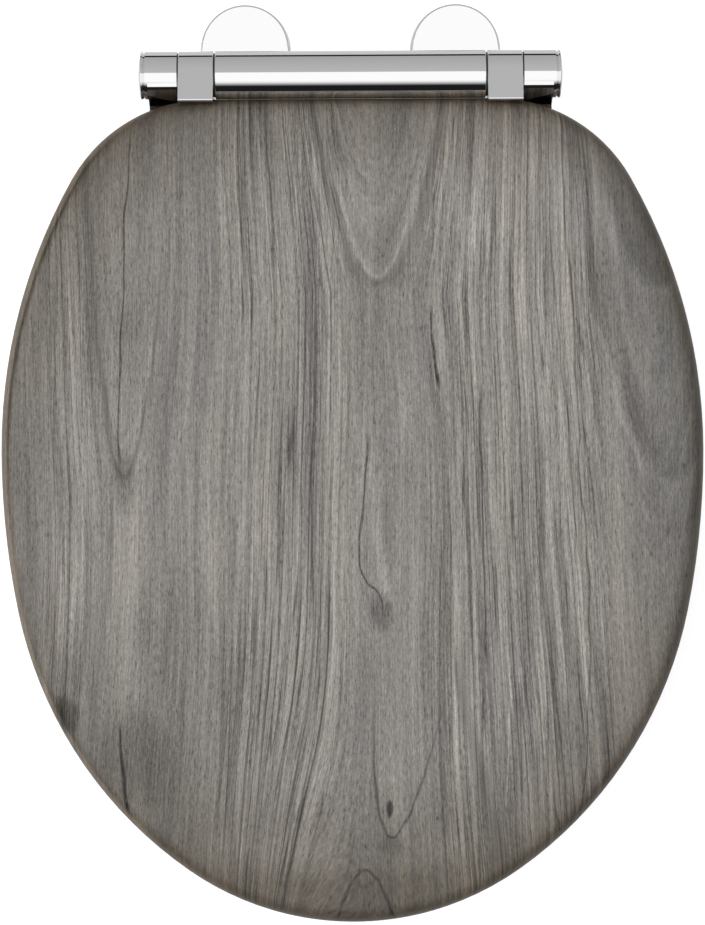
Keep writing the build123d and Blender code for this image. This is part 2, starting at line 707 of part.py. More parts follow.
def ring_bumper():
    foot = extrude(SlotOverall(BUMPER_LENGTH, BUMPER_WIDTH), RING_BUMPER_HEIGHT)
    foot = fillet(foot.faces().sort_by(Axis.Z)[0].edges(), BUMPER_ROUND)
    foot = foot - upright(BUMPER_SCREW_HOLE / 2, 0, 0, 0, BUMPER_SCREW_SEAT)
    return foot - bumper_screw(FIT)


def bumper_screw(grow=0.0):
    """The screw of one bumper, in the bumper's own place."""
    return Pos(0, 0, BUMPER_SCREW_SEAT) * wood_screw(grow)


def lid_buffer():
    """A pad with its top at the origin and a peg that goes up into the lid."""
    pad = upright(BUFFER_DIAMETER / 2, 0, 0, -buffer_height, 0)
    pad = fillet(pad.edges().sort_by(Axis.Z)[0], BUFFER_ROUND)
    return pad + upright(BUFFER_PEG_DIAMETER / 2, 0, 0, 0, BUFFER_PEG_LENGTH)


def group(shapes):
    return Compound(children=list(shapes))


nodes = {
    "lid_panel": lid_panel(),
    "seat_ring": seat_ring(),
    "hinge_bar": hinge_bar(),
    "left_lid_damper": on_side(damper(), -1),
    "right_ring_damper": damper(),
    "left_lid_damper_shaft": on_side(lid_damper_shaft(), -1),
    "right_ring_damper_shaft": ring_damper_shaft(),
    "left_lid_arm": on_side(lid_arm(keyed=True), -1),
    "right_lid_arm": lid_arm(keyed=False),
    "right_lid_arm_bush": bush(shaft_radius, lid_arm_in, lid_arm_out),
    "left_ring_arm": on_side(ring_arm(keyed=False), -1),
    "right_ring_arm": ring_arm(keyed=True),
    "left_ring_arm_bush": on_side(bush(pivot_radius, ring_arm_in, pocket_floor), -1),
    "left_outer_washer": on_side(thrust_washer(lid_arm_out, OUTER_GAP, pivot_radius), -1),
    "right_outer_washer": thrust_washer(lid_arm_out, OUTER_GAP, shaft_radius),
    "lid_arm_screws": group(both_sides(lid_screw_places, with_cross(wood_screw()))),
    "ring_arm_screws": group(both_sides(ring_screw_places, with_cross(wood_screw()))),
    "bumper_screws": group(both_sides(bumper_places, with_cross(wood_screw(), BUMPER_SCREW_SEAT))),
}

paired_pieces = {
    "inner_washer": thrust_washer(bar_end, INNER_GAP, shaft_radius),
    "shaft_retainer": retainer(),
    "shaft_screw": shaft_screw(),
    "end_cap": end_cap(),
    "base_gasket": base_gasket(),
    "base_plate": base_plate(),
    "cover_disc": cover_disc(),
    "fixing_bolt": fixing_bolt(),
    "post_screw": Pos(stud_x, hinge_y, plate_bottom) * with_cross(post_screw()),
    "rubber_bushing": rubber_bushing(),
    "wing_nut": wing_nut(),
    "front_bumper": bumper_places[0] * ring_bumper(),
    "rear_bumper": bumper_places[1] * ring_bumper(),
    "front_buffer": buffer_places[0] * lid_buffer(),
    "rear_buffer": buffer_places[1] * lid_buffer(),
}
for name, piece in paired_pieces.items():
    nodes["right_" + name] = piece
    nodes["left_" + name] = on_side(piece, -1)

os.makedirs("parts", exist_ok=True)
for name, piece in nodes.items():
    export_step(piece, f"parts/{name}.step")
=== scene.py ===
import json
from dataclasses import dataclass
from math import pi, radians

import bmesh
import bpy
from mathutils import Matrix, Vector


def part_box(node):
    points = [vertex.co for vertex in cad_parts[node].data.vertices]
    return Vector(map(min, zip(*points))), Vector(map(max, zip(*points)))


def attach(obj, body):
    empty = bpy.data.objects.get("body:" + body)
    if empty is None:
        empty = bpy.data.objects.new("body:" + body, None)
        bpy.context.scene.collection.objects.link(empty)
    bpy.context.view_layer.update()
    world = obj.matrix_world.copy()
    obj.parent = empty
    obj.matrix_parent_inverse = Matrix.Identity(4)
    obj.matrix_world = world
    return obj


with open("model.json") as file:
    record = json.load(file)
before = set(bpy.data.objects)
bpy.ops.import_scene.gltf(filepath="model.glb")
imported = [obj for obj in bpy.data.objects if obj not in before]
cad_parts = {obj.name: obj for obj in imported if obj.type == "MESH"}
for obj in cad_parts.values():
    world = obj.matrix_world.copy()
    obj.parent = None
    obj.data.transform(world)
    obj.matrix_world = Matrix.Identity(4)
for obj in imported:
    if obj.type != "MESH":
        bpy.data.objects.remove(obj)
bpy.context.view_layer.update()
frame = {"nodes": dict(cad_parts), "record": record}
nodes = frame["nodes"]

# A toilet seat seen from straight above: grey wood-grain lid, polished chrome hinge, pan fixings below.
# Blender's lengths are metres. The finishes count in millimetres, as the lid's maker would.
MM = 0.001


class Value:
    """A shader socket that takes part in Python arithmetic; each operation adds a Math node."""

    def __init__(self, finish, socket):
        self.finish = finish
        self.socket = socket

    def __add__(self, other):
        return self.finish.math("ADD", self, other)

    def __radd__(self, other):
        return self.finish.math("ADD", other, self)

    def __sub__(self, other):
        return self.finish.math("SUBTRACT", self, other)

    def __rsub__(self, other):
        return self.finish.math("SUBTRACT", other, self)

    def __mul__(self, other):
        return self.finish.math("MULTIPLY", self, other)

    def __rmul__(self, other):
        return self.finish.math("MULTIPLY", other, self)

    def __truediv__(self, other):
        return self.finish.math("DIVIDE", self, other)

    def __rtruediv__(self, other):
        return self.finish.math("DIVIDE", other, self)

    def __pow__(self, other):
        return self.finish.math("POWER", self, other)

    def __neg__(self):
        return self.finish.math("MULTIPLY", self, -1.0)

    def __abs__(self):
        return self.finish.math("ABSOLUTE", self)

    def root(self):
        return self.finish.math("SQRT", self)

    def arccosine(self):
        return self.finish.math("ARCCOSINE", self)

    def above(self, floor):
        return self.finish.math("MAXIMUM", self, floor)

    def below(self, ceiling):
        return self.finish.math("MINIMUM", self, ceiling)

    def rise(self, start, end):
        """0 at start and 1 at end, with a soft step between them; end may be the lower one."""
        low, high = min(start, end), max(start, end)
        at_low, at_high = (0.0, 1.0) if start < end else (1.0, 0.0)
        return self.finish.node(
            "ShaderNodeMapRange",
            {"interpolation_type": "SMOOTHSTEP"},
            {"Value": self, "From Min": low, "From Max": high, "To Min": at_low, "To Max": at_high},
        )


class Finish:
    """A material, or the world, under construction."""

    def __init__(self, owner):
        owner.use_nodes = True
        self.owner = owner
        self.tree = owner.node_tree
        self.tree.nodes.clear()

    def node(self, kind, settings=None, sockets=None, output=0):
        """One node: its settings first, then the values or links of its sockets. Gives one output."""
        made = self.tree.nodes.new(kind)
        for name, setting in (settings or {}).items():
            setattr(made, name, setting)
        for key, value in (sockets or {}).items():
            if isinstance(value, Value):
                self.tree.links.new(value.socket, made.inputs[key])
            else:
                made.inputs[key].default_value = value
        return Value(self, made.outputs[output]) if len(made.outputs) else None

    def math(self, operation, *terms):
        return self.node("ShaderNodeMath", {"operation": operation}, dict(enumerate(terms)))

    def mix(self, first, second, share):
        """A colour between two colours."""
        sockets = {0: share, 6: first, 7: second}
        return self.node("ShaderNodeMix", {"data_type": "RGBA"}, sockets, 2)

    def tint(self, colour, factor, share):
        """A colour, multiplied by another one as far as the share says."""
        settings = {"data_type": "RGBA", "blend_type": "MULTIPLY"}
        tinted = self.node("ShaderNodeMix", settings, {0: 1.0, 6: colour, 7: factor}, 2)
        return self.mix(colour, tinted, share)

    def split(self, vector):
        """The three parts of a vector."""
        parts = self.node("ShaderNodeSeparateXYZ", sockets={0: vector})
        return [Value(self, output) for output in parts.socket.node.outputs]

    def place(self):
        """Object coordinates as three values, in millimetres."""
        coordinates = self.node("ShaderNodeTexCoord", output="Object")
        return [part * (1 / MM) for part in self.split(coordinates)]

    def facing(self):
        """The surface normal in object space as three values."""
        return self.split(self.node("ShaderNodeTexCoord", output="Normal"))

    def noise(self, x, y, z, detail=2.0, roughness=0.5):
        """Noise from 0 to 1 about 0.5, one cell per unit."""
        place = self.node("ShaderNodeCombineXYZ", sockets={0: x, 1: y, 2: z})
        sockets = {"Vector": place, "Scale": 1.0, "Detail": detail, "Roughness": roughness}
        return self.node("ShaderNodeTexNoise", {"noise_dimensions": "3D"}, sockets)

    def ripple(self, x, y, z, detail, roughness=0.5):
        """Noise about 0, one cell per unit."""
        return self.noise(x, y, z, detail, roughness) - 0.5

    def mottle(self, cells, detail):
        """Noise from 0 to 1 all through a piece, with so many cells to a millimetre."""
        x, y, z = self.place()
        return self.noise(x * cells, y * cells, z * cells, detail)

    def bump(self, height, distance, strength):
        sockets = {"Height": height, "Distance": distance, "Strength": strength}
        return self.node("ShaderNodeBump", sockets=sockets)

    def surface(self, sockets):
        """The one Principled shader of the finish."""
        shader = self.node("ShaderNodeBsdfPrincipled", sockets=sockets)
        self.node("ShaderNodeOutputMaterial", sockets={"Surface": shader})
        return self.owner


def new_finish(name):
    return Finish(bpy.data.materials.new(name))


def linear(red, green, blue):
    """A colour as the eye reads it off a picture, 0 to 255, made linear."""
    shares = [channel / 255 for channel in (red, green, blue)]
    return [
        share / 12.92 if share <= 0.04045 else ((share + 0.055) / 1.055) ** 2.4 for share in shares
    ] + [1.0]


# Wood decor of the lid and the ring, in millimetres. Its tones count from black, 0, to white, 1, as seen.

# Rounded edge that the foil is drawn over; the least parts of its normal keep the stretch finite
LID_EDGE_RADIUS = 10.5
LEAST_UP = 0.02
LEAST_TURN = 0.02

# Outline towards which the colour darkens, 0 in its middle and 1 all round it
LID_MIDDLE_X = -7.0
LID_MIDDLE_Y = -234.0
LID_HALF_WIDTH = 186.0
LID_HALF_LENGTH = 205.0
LID_SQUARENESS = 2.4

# Tints: darker towards that outline; browner and darker where the foil turns over the edge, partly painted
# shade; a painted lighter, bluer right rim
OUTER_TINT = linear(213, 210, 205)
OUTER_FADE = (0.40, 0.95)
RIM_TINT = linear(208, 203, 196)
RIM_FADE = (0.85, 1.10)
TURNED_FOIL_AND_PAINTED_SHADE_TINT = linear(226, 216, 202)
TURNED_FOIL_AND_PAINTED_SHADE_FADE = (0.995, 0.6)
RIGHT_RIM_PAINTED_LIGHT_LIFT = (1.05, 1.11, 1.21, 1.0)
RIGHT_RIM_PAINTED_LIGHT_FADE = (0.5, 1.0)
RIGHT_RIM_PAINTED_LIGHT_FADE_X = (60.0, 150.0)
RIGHT_RIM_PAINTED_LIGHT_FADE_Y = (-350.0, -230.0)

# Left rim, by the parts of its normal: a painted highlight, a paler strip over the edge, and painted shade,
# a darker line inside it
LEFT_RIM_PAINTED_LIGHT_FADE = (-0.3, -0.65)
LEFT_PAINTED_HIGHLIGHT_FADE = (0.74, 0.66)
LEFT_PAINTED_HIGHLIGHT_STRENGTH = 0.12
LEFT_PAINTED_SHADE_INNER_FADE = (0.92, 0.80)
LEFT_PAINTED_SHADE_OUTER_FADE = (0.68, 0.80)
LEFT_PAINTED_SHADE_FADE_Y = (-280.0, -180.0)
LEFT_PAINTED_SHADE_STRENGTH = 0.17

# Run of the lines: how they wander, spread towards the front, lean over left of the middle, and drift
SWAY = 5.0
WOBBLE = 0.9
MARK_WOBBLE = 4.0
FRONT_START_Y = -250.0
FRONT_LENGTH = 170.0
FRONT_SPREAD = 0.1
LEAN_MIDDLE_X = -28.0
LEAN_HALF_WIDTH = 45.0
LEAN = 15.0
DRIFT = 0.05

# Nested Vs: how far before its first point a nest parts the lines, and how softly they turn
FIGURE_FRONT = 8.0
FIGURE_ROUNDING = 120.0

# Bowed bands: their soft edge, where they have faded, and the paler line outside them
BOW_EDGE = 2.5
BOW_END = 18.0
BOW_LINE_PLACE = 4.0
BOW_LINE_WIDTH = 4.0
BOW_LINE_SHARE = 0.5

# Stretches of the board that are lined, by middle and half width; the others are plain
LINED_STRETCHES = ((86.0, 44.0), (-34.0, 30.0), (-150.0, 12.0))
LINED_FADE = 9.0
LINED_LEAST = 0.12

# How strongly each layer of the grain shows, and how much more where the board is lined
BROAD_STRENGTH = 0.15
BAND_STRENGTH = 0.13
BAND_STRENGTH_LINED = 0.12
STREAK_STRENGTH = 0.13
STREAK_STRENGTH_LINED = 0.145
FIBRE_STRENGTH = 0.23
FIBRE_STRENGTH_LINED = 0.10
FLECK_STRENGTH = 0.25
DARK_FLECK_FADE = (-0.14, -0.28)
DARK_FLECK_STRENGTH = 0.08
SPECK_STRENGTH = 0.09
RIDGE_WIDTH = 0.04
RIDGE_STRENGTH_LINED = 0.13
MARK_BREAKS = 4.0

# Tones and colours
MEAN_TONE = 0.452
DARKEST_TONE = 0.12
PALEST_TONE = 0.8
TONE_TO_LIGHT = 2.2
BLACK = (0.008, 0.006, 0.003, 1.0)
COOL_WHITE = (1.06, 1.0, 0.95, 1.0)
WARM_WHITE = (1.07, 1.0, 0.915, 1.0)
WARM_FADE = (-0.2, 0.2)


@dataclass
class Figure:
    """A nest of curved Vs in the grain: its middle line, first point, width, slant and open side."""

    middle_x: float
    point_y: float
    spread: float
    slant: float = 0.0
    opens_to_rear: bool = True

    def behind(self, y):
        """How far a point lies from the first point, towards the open side."""
        return y - self.point_y if self.opens_to_rear else self.point_y - y

    def fold(self, x, y):
        """A value that is the same all along each V, 0 on the first one and below 0 inside it."""
        side = x - self.middle_x
        outside = side * side - self.behind(y).above(-FIGURE_FRONT) * self.spread**2
        return outside / (abs(outside) + FIGURE_ROUNDING).root()

    def distance(self, x, y):
        """About how far a point lies from the first V; below 0 inside it."""
        side = x - self.middle_x
        if self.slant:
            side = side - self.behind(y) * self.slant
        outside = side * side - self.behind(y) * self.spread**2
        steepness = (side * side * 4.0 + self.spread**4).root()
        return outside / steepness


@dataclass
class Line:
    """A drawn line of the decor: its strength, half width, points from front to rear, and soft ends."""

    strength: float
    width: float
    points: list
    end: float = 8.0

    def shade(self, x, y):
        middle = self.points[0][0]
        for (x_from, y_from), (x_to, y_to) in zip(self.points, self.points[1:]):
            middle = middle + y.rise(y_from, y_to) * (x_to - x_from)
        first, last = self.points[0][1], self.points[-1][1]
        ends = y.rise(first - self.end, first + self.end) * y.rise(last + self.end, last - self.end)
        return abs(x - middle).rise(self.width, 0.0) * ends * self.strength


@dataclass
class Curve:
    """A drawn curve along a figure: its strength, half width, place outside the first V, and fade in y."""

    strength: float
    width: float
    figure: Figure
    outside: float = 0.0
    fade: tuple = ()

    def shade(self, x, y):
        shade = abs(self.figure.distance(x, y) - self.outside).rise(self.width, 0.0)
        if self.fade:
            shade = shade * y.rise(*self.fade)
        return shade * self.strength


@dataclass
class Bow:
    """A band inside the first V of a figure, with a paler line outside it: its strength and figure."""

    strength: float
    figure: Figure

    def shade(self, x, y):
        inside = -self.figure.distance(x, y)
        band = inside.rise(-BOW_EDGE, BOW_EDGE) * inside.rise(BOW_END, BOW_EDGE)
        line = abs(inside + BOW_LINE_PLACE).rise(BOW_LINE_WIDTH, 0.0)
        return (band - line * BOW_LINE_SHARE) * self.strength


@dataclass
class Patch:
    """A cloudy oval of the decor: its strength, middle and two radii."""

    strength: float
    middle: tuple
    radius_x: float
    radius_y: float

    def shade(self, x, y):
        across = (x - self.middle[0]) / self.radius_x
        along = (y - self.middle[1]) / self.radius_y
        return (across * across + along * along).rise(1.0, 0.0) * self.strength


def total_shade(marks, x, y):
    """How strongly a group of marks shows at each point."""
    return sum(mark.shade(x, y) for mark in marks)


left_figure = Figure(-119.0, -230.0, 1.7)
middle_figure = Figure(14.5, -126.0, 3.2)
right_figure = Figure(160.0, -275.0, 2.6)
knot_figure = Figure(20.5, -420.0, 2.3, slant=0.13)
arch_figure = Figure(7.0, -437.0, 2.8, opens_to_rear=False)

# Marks of the lid's decor, with the rear at the hinge and the front at the nose
dark_strokes = {
    "long crack on the left": Line(0.22, 0.8, [(-122, -222), (-121.5, -125), (-116, -50)]),
    "crack in the left front": Line(0.30, 1.3, [(-120, -408), (-122, -361)], 5.0),
    "dash left of the middle": Line(0.16, 0.8, [(-58, -147), (-58, -127)], 5.0),
    "dash right of the middle": Line(0.32, 1.2, [(45, -182), (42, -142)], 5.0),
    "tail of the middle knot": Line(0.22, 1.0, [(16, -299), (4, -275), (8, -211)]),
    "line right of the middle knot": Line(0.17, 0.9, [(69, -327), (67, -185)]),
    "long line on the right": Line(0.15, 0.9, [(121, -410), (124, -295), (120, -210), (111, -37)]),
    "line beside the long one": Line(0.13, 0.8, [(117, -274), (103, -34)]),
    "broad band in the right front": Line(0.07, 6.0, [(76, -440), (56, -327)], 20.0),
    "round the middle figure": Curve(0.06, 4.0, middle_figure, 3.0, (-140, -120)),
    "point of the left figure": Curve(0.08, 2.0, left_figure, 0.0, (-60, -190)),
    "round the front knot": Curve(0.15, 1.2, knot_figure, 0.0, (-330, -400)),
    "arch at the nose": Curve(0.14, 1.2, arch_figure),
}

# Lines that lean over with the grain in the front
LEANING_LINES_X = (-50.0, -41.0, -27.0, -19.0, -12.0)
leaning_lines = [Line(0.13, 0.9, [(at, -455), (at, -290)], 20.0) for at in LEANING_LINES_X]

dark_patches = {
    "front knot": Patch(0.3, (19.0, -405.0), 2.2, 6.0),
    "before the front knot": Patch(0.08, (20.0, -424.0), 9.0, 8.0),
    "middle knot": Patch(0.12, (15.0, -301.0), 8.0, 13.0),
    "tip of the left figure": Patch(0.08, (-119.0, -232.0), 9.0, 20.0),
    "round the left front crack": Patch(0.08, (-116.0, -378.0), 24.0, 36.0),
    "tip of the middle figure": Patch(0.035, (15.0, -145.0), 26.0, 75.0),
    "left front": Patch(0.06, (-86.0, -350.0), 48.0, 90.0),
    "left rear": Patch(0.035, (-145.0, -122.0), 60.0, 75.0),
    "knot at the left rim": Patch(0.18, (-152.0, -355.0), 9.0, 13.0),
}

right_bows = {
    "rear": Bow(0.055, Figure(163.0, -130.0, 3.9)),
    "middle": Bow(0.04, Figure(168.0, -232.0, 4.0)),
    "front": Bow(0.025, Figure(170.0, -262.0, 4.0)),
}

pale_marks = {
    "line in the right front": Line(0.12, 0.8, [(80, -401), (81, -317)]),
    "streak beside the right bows": Line(0.06, 3.0, [(151, -230), (139, -186), (130, -148)], 12.0),
    "leaf behind the middle knot": Line(0.06, 5.5, [(19, -296), (12.5, -258), (14, -221)], 12.0),
    "broad band on the left": Line(0.05, 6.0, [(-147, -317), (-147, -190)], 20.0),
    "inside the middle figure": Curve(0.035, 2.5, middle_figure, -1.0),
    "rear, right of the middle": Patch(0.06, (76.0, -64.0), 45.0, 60.0),
    "right of the middle": Patch(0.03, (104.0, -160.0), 30.0, 80.0),
    "right rear": Patch(0.105, (126.0, -52.0), 50.0, 75.0),
    "beside the right dash": Patch(0.05, (67.0, -135.0), 18.0, 60.0),
    "before the middle figure": Patch(0.04, (25.0, -170.0), 16.0, 55.0),
    "right front rim": Patch(0.06, (110.0, -407.0), 36.0, 38.0),
    "nose, right of the middle": Patch(0.06, (62.0, -441.0), 50.0, 32.0),
    "nose, left of the middle": Patch(0.06, (-45.0, -445.0), 60.0, 35.0),
    "beside the left crack": Patch(0.03, (-110.0, -100.0), 14.0, 40.0),
}


class Grain:
    """The grain of one board: where its lines run, and the layers of noise that follow them."""

    def __init__(self, finish, x, y, seed):
        sway = finish.ripple(x * 0.02, y * 0.009, seed, detail=0.0)
        wobble = finish.ripple(x * 0.15, y * 0.03, seed + 5.0, detail=1.0)
        x = x + sway * SWAY + wobble * WOBBLE
        self.x = x
        self.y = y
        self.marks_x = x + wobble * MARK_WOBBLE

        # Towards the front the lines spread a little, and those left of the middle lean over.
        front = ((FRONT_START_Y - y).above(0.0) * (1 / FRONT_LENGTH)) ** 2.0
        leaning = abs(x - LEAN_MIDDLE_X).rise(LEAN_HALF_WIDTH, 0.0)
        straight = x / (1.0 + front * FRONT_SPREAD) + front * leaning * LEAN
        folded = left_figure.fold(straight, y) - middle_figure.fold(straight, y)
        folded = folded + right_figure.fold(straight, y)
        self.straight_x = straight

        self.lined = LINED_LEAST
        for middle, half_width in LINED_STRETCHES:
            stretch = abs(straight - middle).rise(half_width + LINED_FADE, half_width - LINED_FADE)
            self.lined = stretch + self.lined

        # Each layer has so many cells to a millimetre across the lines and so many along them.
        drift = x * DRIFT + seed
        self.broad = finish.ripple(folded * 0.045, y * 0.0035, drift, detail=1.0)
        self.bands = finish.ripple(folded * 0.16, y * 0.005, drift + 7.0, detail=1.0, roughness=0.6)
        self.streaks = finish.ripple(folded * 0.5, y * 0.012, drift + 13.0, detail=2.0, roughness=0.6)
        self.fibres = finish.ripple(straight * 1.4, y * 0.022, seed + 21.0, detail=2.0, roughness=0.7)
        self.flecks = finish.ripple(straight * 1.9, y * 0.26, y * 0.11 + seed + 31.0, detail=1.0)
        self.specks = finish.ripple(x * 1.3, y * 0.9, seed + 61.0, detail=0.0)
        self.ridges = finish.ripple(folded * 0.32, y * 0.003, drift + 43.0, detail=1.0)
        self.grooves = finish.noise(x * 1.3, y * 0.06, seed + 51.0, detail=0.0)

    def tone(self):
        """The tone of the board without its marks."""
        tone = MEAN_TONE + self.broad * BROAD_STRENGTH
        tone = tone + self.bands * (BAND_STRENGTH + self.lined * BAND_STRENGTH_LINED)
        tone = tone + self.streaks * (STREAK_STRENGTH + self.lined * STREAK_STRENGTH_LINED)
        tone = tone + self.fibres * (FIBRE_STRENGTH + self.lined * FIBRE_STRENGTH_LINED)
        tone = tone + self.flecks * FLECK_STRENGTH + self.specks * SPECK_STRENGTH
        tone = tone - self.flecks.rise(*DARK_FLECK_FADE) * DARK_FLECK_STRENGTH
        return tone - abs(self.ridges).rise(RIDGE_WIDTH, 0.0) * self.lined * RIDGE_STRENGTH_LINED

    def marks(self):
        """What the drawn marks add to the tone. The flecks break the dark strokes."""
        x, y = self.marks_x, self.y
        strokes = total_shade(dark_strokes.values(), x, y) + total_shade(leaning_lines, self.straight_x, y)
        dark = strokes * (1.0 + self.flecks * MARK_BREAKS)
        dark = dark + total_shade(dark_patches.values(), x, y) + total_shade(right_bows.values(), self.x, y)
        return total_shade(pale_marks.values(), x, y) - dark

    def warmth(self):
        """How far the white of the print turns to the warm one."""
        return (self.broad + self.bands).rise(*WARM_FADE)


def left_rim_painted_light(y, across, up):
    """What the left rim adds to the tone: a painted highlight, a paler strip over the edge, and painted
    shade, a darker line inside it.
    """
    left = across.rise(*LEFT_RIM_PAINTED_LIGHT_FADE)
    painted_highlight = left * up.rise(*LEFT_PAINTED_HIGHLIGHT_FADE) * LEFT_PAINTED_HIGHLIGHT_STRENGTH
    # Painted shade: the darker line inside the painted highlight on the left rim
    line = left * up.rise(*LEFT_PAINTED_SHADE_INNER_FADE) * up.rise(*LEFT_PAINTED_SHADE_OUTER_FADE)
    return painted_highlight - line * y.rise(*LEFT_PAINTED_SHADE_FADE_Y) * LEFT_PAINTED_SHADE_STRENGTH


def edge_tints(finish, colour, x, y, up):
    """Darker towards the outline. Browner and darker where the foil turns over the edge, partly painted
    shade; a painted lighter, bluer rim on the right.
    """
    far_x = (abs(x - LID_MIDDLE_X) / LID_HALF_WIDTH) ** LID_SQUARENESS
    far_y = (abs(y - LID_MIDDLE_Y) / LID_HALF_LENGTH) ** LID_SQUARENESS
    outwards = far_x + far_y
    colour = finish.tint(colour, OUTER_TINT, outwards.rise(*OUTER_FADE))
    colour = finish.tint(colour, RIM_TINT, outwards.rise(*RIM_FADE))
    # Partly the foil's browner colour, partly painted shade: browner and darker where the edge turns away
    # from the top
    colour = finish.tint(colour, TURNED_FOIL_AND_PAINTED_SHADE_TINT, up.rise(*TURNED_FOIL_AND_PAINTED_SHADE_FADE))
    # Painted light: the right rim is made paler and bluer
    right_rim_painted_light = outwards.rise(*RIGHT_RIM_PAINTED_LIGHT_FADE) * x.rise(*RIGHT_RIM_PAINTED_LIGHT_FADE_X) * y.rise(*RIGHT_RIM_PAINTED_LIGHT_FADE_Y)
    return finish.tint(colour, RIGHT_RIM_PAINTED_LIGHT_LIFT, right_rim_painted_light)


def wrapped_place(finish):
    """Where a point of the foil lay before it was drawn over the rounded edge, and how it faces."""
    x, y, z = finish.place()
    across, along, up = finish.facing()
    lean = up.above(LEAST_UP).arccosine()
    turn = (1.0 - up * up).above(LEAST_TURN**2).root()
    stretch = (lean / turn - 1.0) * LID_EDGE_RADIUS
    return x + stretch * across, y + stretch * along, across, up


def wood(name, seed, marked):
    """Printed foil of the lid or the ring. Only a marked board has the drawn marks and the left rim's
    painted highlight and painted shade.
    """
    finish = new_finish(name)
    x, y, across, up = wrapped_place(finish)
    grain = Grain(finish, x, y, seed)
    tone = grain.tone()
    if marked:
        # The lid also gets the left rim's painted highlight and painted shade
        tone = tone + grain.marks() + left_rim_painted_light(y, across, up)
    light = tone.above(DARKEST_TONE).below(PALEST_TONE) ** TONE_TO_LIGHT
    white = finish.mix(COOL_WHITE, WARM_WHITE, grain.warmth())
    colour = finish.mix(BLACK, white, light)
    return finish.surface(
        {
            "Base Color": edge_tints(finish, colour, grain.x, y, up),
            "Roughness": 0.42 + grain.fibres * 0.2,
            "Normal": finish.bump(grain.grooves, distance=0.0002, strength=0.2),
            "Specular IOR Level": 0.4,
        }
    )


# Chrome, steel, rubber and plastics


def chrome():
    finish = new_finish("chrome")
    flow = finish.mottle(cells=0.05, detail=1.0)
    haze = finish.mottle(cells=0.35, detail=3.0)
    return finish.surface(
        {
            "Base Color": linear(243, 243, 244),
            "Metallic": 1.0,
            "Roughness": 0.025 + haze.rise(0.45, 0.8) * 0.03,
            "Normal": finish.bump(flow, distance=0.0002, strength=0.05),
        }
    )


def zinc_steel():
    finish = new_finish("zinc_steel")
    x, y, z = finish.place()
    spangle = finish.mottle(cells=0.5, detail=3.0)
    brushed = finish.noise(x * 3.0, y * 3.0, z * 0.3)
    return finish.surface(
        {
            "Base Color": finish.mix(linear(176, 178, 180), linear(205, 206, 206), spangle),
            "Metallic": 1.0,
            "Roughness": 0.24 + brushed * 0.16,
            "Normal": finish.bump(brushed, distance=0.00005, strength=0.2),
        }
    )


def moulded(name, dark, pale, roughness, grain):
    """A moulded rubber or plastic with a faint mottle and a matt skin."""
    finish = new_finish(name)
    clouds = finish.mottle(cells=0.25, detail=3.0)
    skin = finish.mottle(cells=4.0, detail=2.0)
    return finish.surface(
        {
            "Base Color": finish.mix(dark, pale, clouds),
            "Roughness": roughness + skin * 0.12,
            "Normal": finish.bump(skin, distance=0.00006, strength=grain),
        }
    )


finishes = {
    "lid_decor": wood("lid_wood", 3.4, marked=True),
    "ring_decor": wood("ring_wood", 11.6, marked=False),
    "chrome": chrome(),
    "steel": zinc_steel(),
    "foot_rubber": moulded("foot_rubber", linear(188, 188, 186), linear(204, 204, 201), 0.6, 0.3),
    "gasket_rubber": moulded("gasket_rubber", linear(30, 30, 31), linear(42, 42, 43), 0.65, 0.3),
    "nylon": moulded("nylon", linear(222, 222, 217), linear(234, 234, 230), 0.4, 0.15),
    "damper_plastic": moulded("damper_plastic", linear(34, 34, 35), linear(48, 48, 50), 0.4, 0.15),
}

for row in frame["record"]["subparts"]:
    node = nodes[row["node"]]
    node.data.materials.clear()
    node.data.materials.append(finishes[row["material_slot"]])


def as_object(shape, name):
    """An object at the origin from a finished bmesh."""
    mesh = bpy.data.meshes.new(name)
    shape.to_mesh(mesh)
    shape.free()
    piece = bpy.data.objects.new(name, mesh)
    bpy.context.scene.collection.objects.link(piece)
    return piece


# Threads of the fixing bolts, where they come out below the wing nuts

THREAD_ROOT = 0.00268
THREAD_CREST = 0.0030
THREAD_PITCH = 0.001
THREAD_TURNS = 13
THREAD_STEPS = 24
THREAD_BOTTOM = -0.0489


def bolt_thread(name, bolt_x):
    """A ridge wound round the bolt's plain end, closed at both ends."""
    shape = bmesh.new()
    section = [(THREAD_ROOT, 0.1), (THREAD_CREST, 0.4), (THREAD_CREST, 0.6), (THREAD_ROOT, 0.9)]
    corners = [
        shape.verts.new((bolt_x + radius, 0.0, THREAD_BOTTOM + share * THREAD_PITCH))
        for radius, share in section
    ]
    start = shape.faces.new(corners)
    wound = bmesh.ops.spin(
        shape,
        geom=list(start.verts) + list(start.edges),
        cent=(bolt_x, 0.0, 0.0),
        axis=(0.0, 0.0, 1.0),
        dvec=(0.0, 0.0, THREAD_PITCH / THREAD_STEPS),
        angle=2 * pi * THREAD_TURNS,
        steps=THREAD_STEPS * THREAD_TURNS,
    )
    end = [part for part in wound["geom_last"] if isinstance(part, bmesh.types.BMEdge)]
    bmesh.ops.contextual_create(shape, geom=end)
    bmesh.ops.recalc_face_normals(shape, faces=shape.faces)
    piece = as_object(shape, name)
    piece.data.materials.append(finishes["steel"])
    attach(piece, "base")


for side in ("left", "right"):
    low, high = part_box(side + "_fixing_bolt")
    bolt_thread(side + "_bolt_thread", (low[0] + high[0]) / 2)


# Studio: the floor at the bolts' lower ends, what surrounds the seat, the lamps and the camera

FLOOR_Z = -0.050
FLOOR_SIZE = 16.0
FLOOR_REAR_Y = 0.30
FLOOR_GREY = (0.48, 0.48, 0.48, 1.0)
FLOOR_SEEN_GLOW = 0.72
FLOOR_MIRRORED_GLOW = 0.2

# Stretch behind the discs, in millimetres, over which the floor's mirrored glow fades in
FLOOR_MIRRORED_FADE = (90.0, 40.0)

